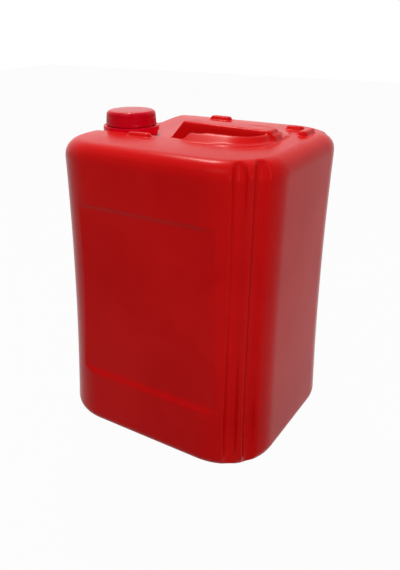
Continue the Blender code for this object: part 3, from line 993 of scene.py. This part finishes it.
def startMaterial(name, look):
    # a material with the moulded skin's masks, whose colour goes from light to deep in patches
    made = bpy.data.materials.new(name)
    made.use_nodes = True
    tree = made.node_tree
    shader = tree.nodes["Principled BSDF"]
    shader.inputs["Specular IOR Level"].default_value = look["specular"]
    shader.inputs["Specular Tint"].default_value = (*look["tint"], 1)
    place = addNode(tree, "ShaderNodeTexCoord").outputs["Object"]
    skin = addNode(tree, "ShaderNodeGroup")
    skin.node_tree = mouldedSkin
    tree.links.new(place, skin.inputs["Vector"])
    for socket, value in zip(("Grain Scale", "Patch Scale", "Streak Scale"), look["grain"]):
        skin.inputs[socket].default_value = value
    patches = rangeNode(tree, skin.outputs["Patches"], *look["patchEdge"], 0, 1)
    tree.links.new(mixColours(tree, patches, look["light"], look["deep"]), shader.inputs["Base Color"])
    return made, tree, shader, place, skin.outputs, patches


def mixColours(tree, amount, first, second):
    mix = addNode(tree, "ShaderNodeMix", data_type="RGBA")
    tree.links.new(amount, mix.inputs["Factor"])
    mix.inputs["A"].default_value = (*first, 1)
    mix.inputs["B"].default_value = (*second, 1)
    return mix.outputs["Result"]


def addBump(tree, height, distance, before=None):
    bump = addNode(tree, "ShaderNodeBump", Distance=distance)
    tree.links.new(height, bump.inputs["Height"])
    if before:
        tree.links.new(before, bump.inputs["Normal"])
    return bump.outputs["Normal"]


def makePlastic(name, look, parted=False):
    # parted: with the thin flash line that the two halves of the mould leave
    made, tree, shader, place, skin, patches = startMaterial(name, look)
    rough = rangeNode(tree, patches, 0, 1, *look["roughness"])
    rough = mathNode(tree, "MULTIPLY_ADD", skin["Specks"], skinLook["speckRoughness"], rough)
    tree.links.new(rough, shader.inputs["Roughness"])
    normal = addBump(tree, skin["Streaks"], look["streakDepth"])
    normal = addBump(tree, skin["Grain"], look["grainDepth"], normal)
    if parted:
        split = addNode(tree, "ShaderNodeSeparateXYZ")
        tree.links.new(place, split.inputs[0])
        distance = mathNode(tree, "ABSOLUTE", split.outputs["Y"])
        line = rangeNode(tree, distance, look["partingFlat"] / 2, look["partingWidth"] / 2, 1, 0)
        normal = addBump(tree, line, look["partingDepth"], normal)
    tree.links.new(normal, shader.inputs["Normal"])
    return made


def makeFoam(name, look):
    made, tree, shader, place = startMaterial(name, look)[:4]
    cells = addNode(tree, "ShaderNodeTexVoronoi", Scale=look["cellScale"])
    tree.links.new(place, cells.inputs["Vector"])
    rough = rangeNode(tree, cells.outputs["Distance"], 0, 0.7, *look["roughness"])
    tree.links.new(rough, shader.inputs["Roughness"])
    normal = addBump(tree, cells.outputs["Distance"], look["cellDepth"])
    tree.links.new(normal, shader.inputs["Normal"])
    return made


def dress(piece, made):
    piece.data.materials.clear()
    piece.data.materials.append(made)


dress(shell, makePlastic("canPlastic", canLook, parted=True))
dress(capSkin, makePlastic("capPlastic", capLook))
dress(ringSkin, makePlastic("ringPlastic", ringLook))
dress(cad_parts["cap_seal"], makeFoam("sealFoam", foamLook))


# Floor, lamps and camera

view = {
    "place": (380.5 * mm, -656.34 * mm, 510.83 * mm),
    "right": (0.831931, 0.554774, -0.010763),
    "up": (-0.218597, 0.34551, 0.912599),
    "back": (0.510005, -0.756867, 0.408713),
    "lens": 39.394,
    "shiftX": 0.0702,
    "shiftY": -0.002,
}

cameraData = bpy.data.cameras.new("camera")
camera = bpy.data.objects.new("camera", cameraData)
bpy.context.scene.collection.objects.link(camera)
turn = Matrix((view["right"], view["up"], view["back"])).transposed().to_4x4()
camera.matrix_world = Matrix.Translation(view["place"]) @ turn
cameraData.sensor_width = 36
cameraData.lens = view["lens"]
cameraData.shift_x = view["shiftX"]
cameraData.shift_y = view["shiftY"]
cameraData.clip_start = 0.01
bpy.context.scene.camera = camera

studio = {
    "floorSize": 8,
    "target": (0, 0, 0.3),
    "floorColour": (0.4, 0.4, 0.4, 1),
    "floorLift": 0.97,
    "ambient": 0.18,
    "strip": {"place": (-0.55, 0.5, 1.53), "size": (0.22, 0.12), "power": 11, "tint": (1, 0.92, 0.84)},
    "overhead": {"place": (0.1, 0.15, 1.9), "size": (1.5, 1.5), "power": 3.5, "tint": (1, 0.95, 0.9)},
    "front": {"place": (-0.1, -1.2, 2.0), "size": (1.2, 0.8), "power": 12, "tint": (1, 1, 1)},
    "edge": {"place": (1.2, -0.85, 0.8), "size": (0.3, 0.8), "power": 6, "tint": (1, 1, 1)},
}


def seenShare(tree):
    # 1 for rays that look at the background: from the camera, a gloss or through glass
    path = addNode(tree, "ShaderNodeLightPath").outputs
    either = mathNode(tree, "MAXIMUM", path["Is Camera Ray"], path["Is Glossy Ray"])
    return mathNode(tree, "MAXIMUM", either, path["Is Transmission Ray"])


print("stage: studio")
deselect()
bpy.ops.mesh.primitive_plane_add(size=studio["floorSize"], location=(0, 0, 0))
floor = bpy.context.object
floor.name = "floor"
floorWhite = bpy.data.materials.new("floorWhite")
floorWhite.use_nodes = True
tree = floorWhite.node_tree
tree.nodes.remove(tree.nodes["Principled BSDF"])
matte = addNode(tree, "ShaderNodeBsdfDiffuse", Color=studio["floorColour"])
glow = addNode(tree, "ShaderNodeEmission", Color=(1, 1, 1, 1), Strength=1.0)
mix = addNode(tree, "ShaderNodeMixShader")
lift = mathNode(tree, "MULTIPLY", seenShare(tree), studio["floorLift"])
tree.links.new(lift, mix.inputs["Fac"])
tree.links.new(matte.outputs[0], mix.inputs[1])
tree.links.new(glow.outputs[0], mix.inputs[2])
tree.links.new(mix.outputs[0], tree.nodes["Material Output"].inputs["Surface"])
dress(floor, floorWhite)

world = bpy.data.worlds.new("studio")
world.use_nodes = True
tree = world.node_tree
ambient = tree.nodes["Background"]
ambient.inputs["Color"].default_value = (1, 1, 1, 1)
ambient.inputs["Strength"].default_value = studio["ambient"]
white = addNode(tree, "ShaderNodeBackground", Color=(1, 1, 1, 1), Strength=1.0)
mix = addNode(tree, "ShaderNodeMixShader")
tree.links.new(seenShare(tree), mix.inputs["Fac"])
tree.links.new(ambient.outputs[0], mix.inputs[1])
tree.links.new(white.outputs[0], mix.inputs[2])
tree.links.new(mix.outputs[0], tree.nodes["World Output"].inputs["Surface"])
bpy.context.scene.world = world


def addLamp(name, values):
    deselect()
    bpy.ops.object.light_add(type="AREA", location=values["place"])
    lamp = bpy.context.object
    lamp.name = name
    lamp.data.shape = "RECTANGLE"
    lamp.data.size, lamp.data.size_y = values["size"]
    lamp.data.energy = values["power"]
    lamp.data.color = values["tint"]
    aim = Vector(studio["target"]) - Vector(values["place"])
    lamp.rotation_euler = aim.to_track_quat("-Z", "Y").to_euler()


for name in ("strip", "overhead", "front", "edge"):
    addLamp(name + "Lamp", studio[name])

bpy.context.scene.view_settings.view_transform = "Standard"
